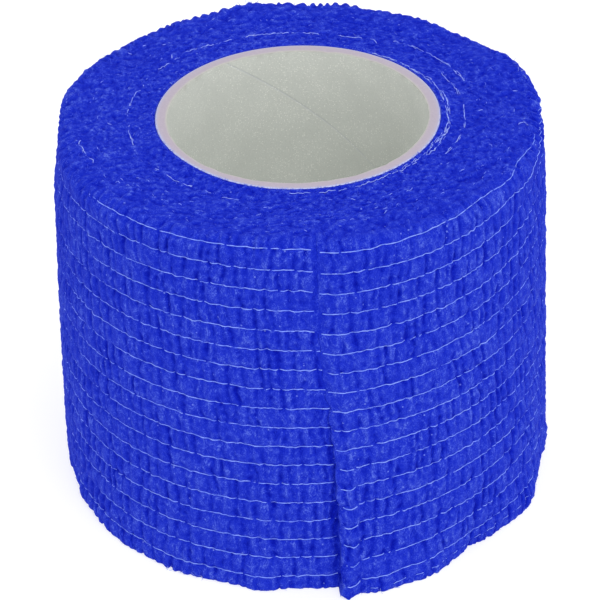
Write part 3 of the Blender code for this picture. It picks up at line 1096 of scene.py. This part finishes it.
class Shading:
    """A material's nodes, with short ways to add the ones used here."""

    def __init__(self, name):
        self.material = bpy.data.materials.new(name)
        self.material.use_nodes = True
        self.nodes = self.material.node_tree.nodes
        self.shader = self.nodes["Principled BSDF"]
        coordinates = self.nodes.new("ShaderNodeTexCoord")
        self.position = coordinates.outputs["Object"]

    def link(self, output, socket):
        self.material.node_tree.links.new(output, socket)

    def set(self, **values):
        for label, value in values.items():
            self.shader.inputs[label.replace("_", " ")].default_value = value

    def attribute(self, label):
        node = self.nodes.new("ShaderNodeAttribute")
        node.attribute_name = label
        return node.outputs["Fac"]

    def math(self, operation, first, second=0.0, third=0.0):
        node = self.nodes.new("ShaderNodeMath")
        node.operation = operation
        for socket, value in zip(node.inputs, (first, second, third)):
            if isinstance(value, (int, float)):
                socket.default_value = value
            else:
                self.link(value, socket)
        return node.outputs[0]

    def add(self, *terms):
        total = terms[0]
        for term in terms[1:]:
            total = self.math("ADD", total, term)
        return total

    def noise(self, size, detail=2.0, roughness=0.5, stretch=(1.0, 1.0, 1.0), distortion=0.0):
        """Noise whose features are about this size, from about 0.3 to 0.7."""
        mapping = self.nodes.new("ShaderNodeMapping")
        mapping.inputs["Scale"].default_value = stretch
        self.link(self.position, mapping.inputs["Vector"])
        node = self.nodes.new("ShaderNodeTexNoise")
        node.inputs["Scale"].default_value = 1.0 / size
        node.inputs["Detail"].default_value = detail
        node.inputs["Roughness"].default_value = roughness
        node.inputs["Distortion"].default_value = distortion
        self.link(mapping.outputs["Vector"], node.inputs["Vector"])
        return node.outputs["Fac"]

    def spread(self, value, strength):
        """Noise as a term around 0."""
        return self.math("MULTIPLY_ADD", value, strength, -0.5 * strength)

    def wisps(self, size, stretch, there):
        """Thin curled lines, where there is above 0."""
        curls = self.noise(size, 2.0, 0.55, stretch=stretch, distortion=0.5)
        off = self.math("ABSOLUTE", self.math("SUBTRACT", curls, 0.5))
        line = self.math("MAXIMUM", self.math("MULTIPLY_ADD", off, -24.0, 1.0), 0.0)
        return self.math("MULTIPLY", line, self.math("MINIMUM", self.math("MAXIMUM", there, 0.0), 1.0))

    def cells(self, size):
        """Distance from the middle of a random cell, and the cell's own random value."""
        node = self.nodes.new("ShaderNodeTexVoronoi")
        node.inputs["Scale"].default_value = 1.0 / size
        self.link(self.position, node.inputs["Vector"])
        split = self.nodes.new("ShaderNodeSeparateColor")
        self.link(node.outputs["Color"], split.inputs[0])
        return node.outputs["Distance"], split.outputs[0]

    def ramp(self, value, stops):
        node = self.nodes.new("ShaderNodeValToRGB")
        elements = node.color_ramp.elements
        while len(elements) < len(stops):
            elements.new(0.5)
        for element, (position, colour) in zip(elements, stops):
            element.position = position
            element.color = (*colour, 1.0)
        self.link(value, node.inputs["Fac"])
        return node.outputs["Color"]

    def mix(self, share, first, second):
        node = self.nodes.new("ShaderNodeMix")
        node.data_type = "RGBA"
        for socket, value in zip((node.inputs[0], node.inputs[6], node.inputs[7]), (share, first, second)):
            if isinstance(value, tuple):
                socket.default_value = (*value, 1.0)
            elif isinstance(value, (int, float)):
                socket.default_value = value
            else:
                self.link(value, socket)
        return node.outputs[2]

    def bump(self, height, distance, strength=1.0):
        node = self.nodes.new("ShaderNodeBump")
        node.inputs["Distance"].default_value = distance
        node.inputs["Strength"].default_value = strength
        self.link(height, node.inputs["Height"])
        self.link(node.outputs["Normal"], self.shader.inputs["Normal"])


def cloth_material():
    cloth = Shading("cohesive_crepe")
    patches = cloth.noise(1.6 * MM, 2.0, 0.5)
    mottle = cloth.noise(0.55 * MM, 3.0, 0.65, stretch=(1.0, 1.0, 0.8))
    fibres = cloth.noise(0.15 * MM, 3.0, 0.75)
    wisps = cloth.add(
        cloth.wisps(0.62 * MM, (1.0, 1.0, 0.45), cloth.math("MULTIPLY_ADD", patches, 5.0, -2.2)),
        cloth.wisps(0.40 * MM, (0.9, 0.9, 0.7), cloth.math("MULTIPLY_ADD", patches, -5.0, 2.8)),
    )
    # Painted shade and highlight: the crepe is painted lighter where its relief stands high and darker in its
    # grooves. The tone attribute adds the grid's painted shade and highlights, and the noises are the crepe's
    # own uneven colour
    tone = cloth.math("MULTIPLY_ADD", cloth.attribute("relief"), 0.24, 0.46)
    tone = cloth.add(tone, cloth.attribute("tone"), cloth.spread(patches, 0.05), cloth.spread(mottle, 0.62),
                     cloth.spread(fibres, 1.36), cloth.math("MULTIPLY", wisps, 0.45))
    colour = cloth.ramp(tone, (
        (0.0, (0.0020, 0.0083, 0.430)),
        (0.30, (0.0070, 0.0211, 0.524)),
        (0.52, (0.0137, 0.0323, 0.580)),
        (0.75, (0.0304, 0.0598, 0.632)),
        (1.0, (0.0910, 0.1470, 0.740)),
    ))
    distance, chance = cloth.cells(0.9 * MM)
    near = cloth.math("LESS_THAN", distance, 0.13)
    speck = cloth.math("MULTIPLY", near, cloth.math("GREATER_THAN", chance, 0.88))
    colour = cloth.mix(cloth.math("MULTIPLY", speck, 0.5), colour, (0.25, 0.34, 0.90))
    cloth.link(colour, cloth.shader.inputs["Base Color"])
    cloth.link(cloth.math("MULTIPLY_ADD", mottle, 0.3, 0.62), cloth.shader.inputs["Roughness"])
    cloth.bump(cloth.add(mottle, cloth.math("MULTIPLY", fibres, 0.7)), 0.22 * MM, 0.85)
    cloth.set(Specular_IOR_Level=0.03, Sheen_Weight=0.05, Sheen_Roughness=0.4,
              Sheen_Tint=(0.30, 0.42, 1.0, 1.0))
    return cloth.material


def thread_material(name, dark, light):
    thread = Shading(name)
    streaks = thread.noise(0.8 * MM, 2.0)
    colour = thread.ramp(streaks, ((0.32, dark), (0.60, light)))
    thread.link(colour, thread.shader.inputs["Base Color"])
    thread.set(Roughness=0.6, Specular_IOR_Level=0.1)
    return thread.material


def paper_material():
    paper = Shading("paperboard")
    wrapped = paper.math("WRAP", paper.attribute("seam"), -0.5 * SEAM_PITCH / MM, 0.5 * SEAM_PITCH / MM)
    off_seam = paper.math("ABSOLUTE", wrapped)
    off_seam = paper.math("DIVIDE", off_seam, SEAM_HALF_WIDTH / MM)
    line = paper.math("SUBTRACT", 1.0, paper.math("SMOOTH_MIN", 1.0, off_seam, 0.3))
    line = paper.math("MULTIPLY", paper.math("MAXIMUM", line, 0.0), paper.attribute("seam_seen"))
    line = paper.math("MULTIPLY", line, paper.math("SUBTRACT", 1.0, paper.attribute("rim")))
    fibres = paper.noise(0.35 * MM, 3.0, 0.6)
    patches = paper.noise(5 * MM, 2.0)
    grain = paper.noise(0.12 * MM, 2.0, 0.7)
    tone = paper.add(paper.spread(fibres, 0.3), paper.spread(grain, 1.1), paper.spread(patches, 0.5), 0.5)
    wall = paper.ramp(tone, ((0.15, (0.580, 0.602, 0.567)), (0.85, (0.715, 0.735, 0.693))))
    wall = paper.mix(paper.math("MULTIPLY", line, 0.24), wall, (0.47, 0.48, 0.62))
    distance, chance = paper.cells(0.21 * MM)
    speck = paper.math("MULTIPLY", paper.math("LESS_THAN", distance, 0.34),
                       paper.math("GREATER_THAN", paper.add(chance, paper.spread(patches, 1.0)), 0.70))
    wall = paper.mix(paper.math("MULTIPLY", speck, 0.55), wall, (0.97, 0.97, 0.92))
    ply = paper.attribute("ply")
    frayed = paper.add(ply, paper.spread(paper.noise(0.25 * MM, 2.0, 0.6), 0.14))
    # Across the rim's plies: cream at the inner edge, pinkish in the middle, and a painted highlight, lighter
    # and bluer, along the rounded outer edge
    rim = paper.ramp(frayed, (
        (0.0, (0.50, 0.50, 0.46)),
        (0.10, (0.455, 0.435, 0.44)),
        (0.22, (0.430, 0.378, 0.445)),
        (0.66, (0.430, 0.380, 0.465)),
        (0.82, (0.425, 0.395, 0.510)),
        (0.91, (0.44, 0.44, 0.64)),
        (0.97, (0.56, 0.62, 0.93)),
    ))
    rim = paper.mix(paper.spread(fibres, 0.5), rim, (0.75, 0.68, 0.74))
    paper.link(paper.mix(paper.attribute("rim"), wall, rim), paper.shader.inputs["Base Color"])
    paper.bump(paper.add(fibres, paper.math("MULTIPLY", line, -1.0)), 0.05 * MM, 0.6)
    paper.set(Roughness=0.75, Specular_IOR_Level=0.15)
    return paper.material


# ---------------------------------------------------------------- camera, light and floor

CAMERA_DISTANCE = 391.5 * MM
CAMERA_ELEVATION = 33.234
CAMERA_ROLL = 1.494
FOCAL_PIXELS = 3064.2
PICTURE_PIXELS = 600
AIM_PIXEL = (301.69, 283.13)
AIM_FROM_TUBE = (-0.11 * MM, 0.28 * MM, 25 * MM)  # the point that lands on AIM_PIXEL


def make_camera():
    elevation = math.radians(CAMERA_ELEVATION)
    back = Vector((0.0, -math.cos(elevation), math.sin(elevation)))
    aim = Vector((AXIS_X, AXIS_Y, 0.0)) + Vector(AIM_FROM_TUBE)
    right = Vector((1.0, 0.0, 0.0))
    up = right.cross(-back)
    level = Matrix((right, up, back))
    roll = Matrix.Rotation(math.radians(CAMERA_ROLL), 3, "Z")
    yaw = math.atan((AIM_PIXEL[0] - PICTURE_PIXELS / 2) / FOCAL_PIXELS)
    pitch = math.atan(-(AIM_PIXEL[1] - PICTURE_PIXELS / 2) / FOCAL_PIXELS * math.cos(yaw))
    turned = Matrix.Rotation(-yaw, 3, "Y") @ Matrix.Rotation(pitch, 3, "X") @ roll @ level
    data = bpy.data.cameras.new("camera")
    data.sensor_width = 36.0
    data.lens = FOCAL_PIXELS * data.sensor_width / PICTURE_PIXELS
    data.clip_start = 0.01
    camera = bpy.data.objects.new("camera", data)
    bpy.context.collection.objects.link(camera)
    camera.matrix_world = Matrix.Translation(aim + back * CAMERA_DISTANCE) @ turned.transposed().to_4x4()
    bpy.context.scene.camera = camera


WORLD_STRENGTH = 0.99
KEY_POWER = 1.06  # watts, from a wide soft panel above the camera
KEY_SIZE = 0.35
KEY_PLACE = (0.19, -0.32, 0.57)
KEY_AIM = (0.0, 0.0, 0.03)
FLOOR_REACH = 1.5
FLOOR_GREY = 0.42
FLOOR_GLOW = 0.67  # lit from below, like a light table


def make_light():
    world = bpy.data.worlds.new("studio")
    bpy.context.scene.world = world
    world.use_nodes = True
    background = world.node_tree.nodes["Background"]
    background.inputs["Color"].default_value = (1.0, 1.0, 1.0, 1.0)
    background.inputs["Strength"].default_value = WORLD_STRENGTH
    panel = bpy.data.lights.new("key", "AREA")
    panel.shape = "DISK"
    panel.size = KEY_SIZE
    panel.energy = KEY_POWER
    key = bpy.data.objects.new("key", panel)
    bpy.context.collection.objects.link(key)
    key.location = KEY_PLACE
    key.rotation_euler = (Vector(KEY_AIM) - key.location).to_track_quat("-Z", "Y").to_euler()


def make_floor():
    mesh = bpy.data.meshes.new("floor")
    corners = [(x * FLOOR_REACH, y * FLOOR_REACH, 0) for x, y in ((-1, -1), (1, -1), (1, 1), (-1, 1))]
    mesh.from_pydata(corners, [], [(0, 1, 2, 3)])
    floor = bpy.data.objects.new("floor", mesh)
    bpy.context.collection.objects.link(floor)
    material = bpy.data.materials.new("floor")
    material.use_nodes = True
    shader = material.node_tree.nodes["Principled BSDF"]
    shader.inputs["Base Color"].default_value = (FLOOR_GREY, FLOOR_GREY, FLOOR_GREY, 1.0)
    shader.inputs["Roughness"].default_value = 0.9
    shader.inputs["Emission Color"].default_value = (1.0, 1.0, 1.0, 1.0)
    shader.inputs["Emission Strength"].default_value = FLOOR_GLOW
    mesh.materials.append(material)


def main():
    make_camera()
    make_light()
    make_floor()
    crepe = cloth_material()
    make_cloth(crepe)
    make_threads(thread_material("elastic_thread", (0.13, 0.22, 0.84), (0.27, 0.38, 0.96)))
    stray = thread_material("stray_thread", (0.14, 0.22, 0.85), (0.42, 0.52, 1.0))
    make_stray_threads(stray)
    make_fringes(stray)
    make_flecks(thread_material("fleck", (0.05, 0.09, 0.72), (0.26, 0.35, 0.95)))
    make_fuzz(thread_material("fuzz", (0.05, 0.09, 0.70), (0.16, 0.23, 0.88)))
    make_tube(paper_material())
    bpy.context.scene.view_settings.view_transform = "Standard"


main()
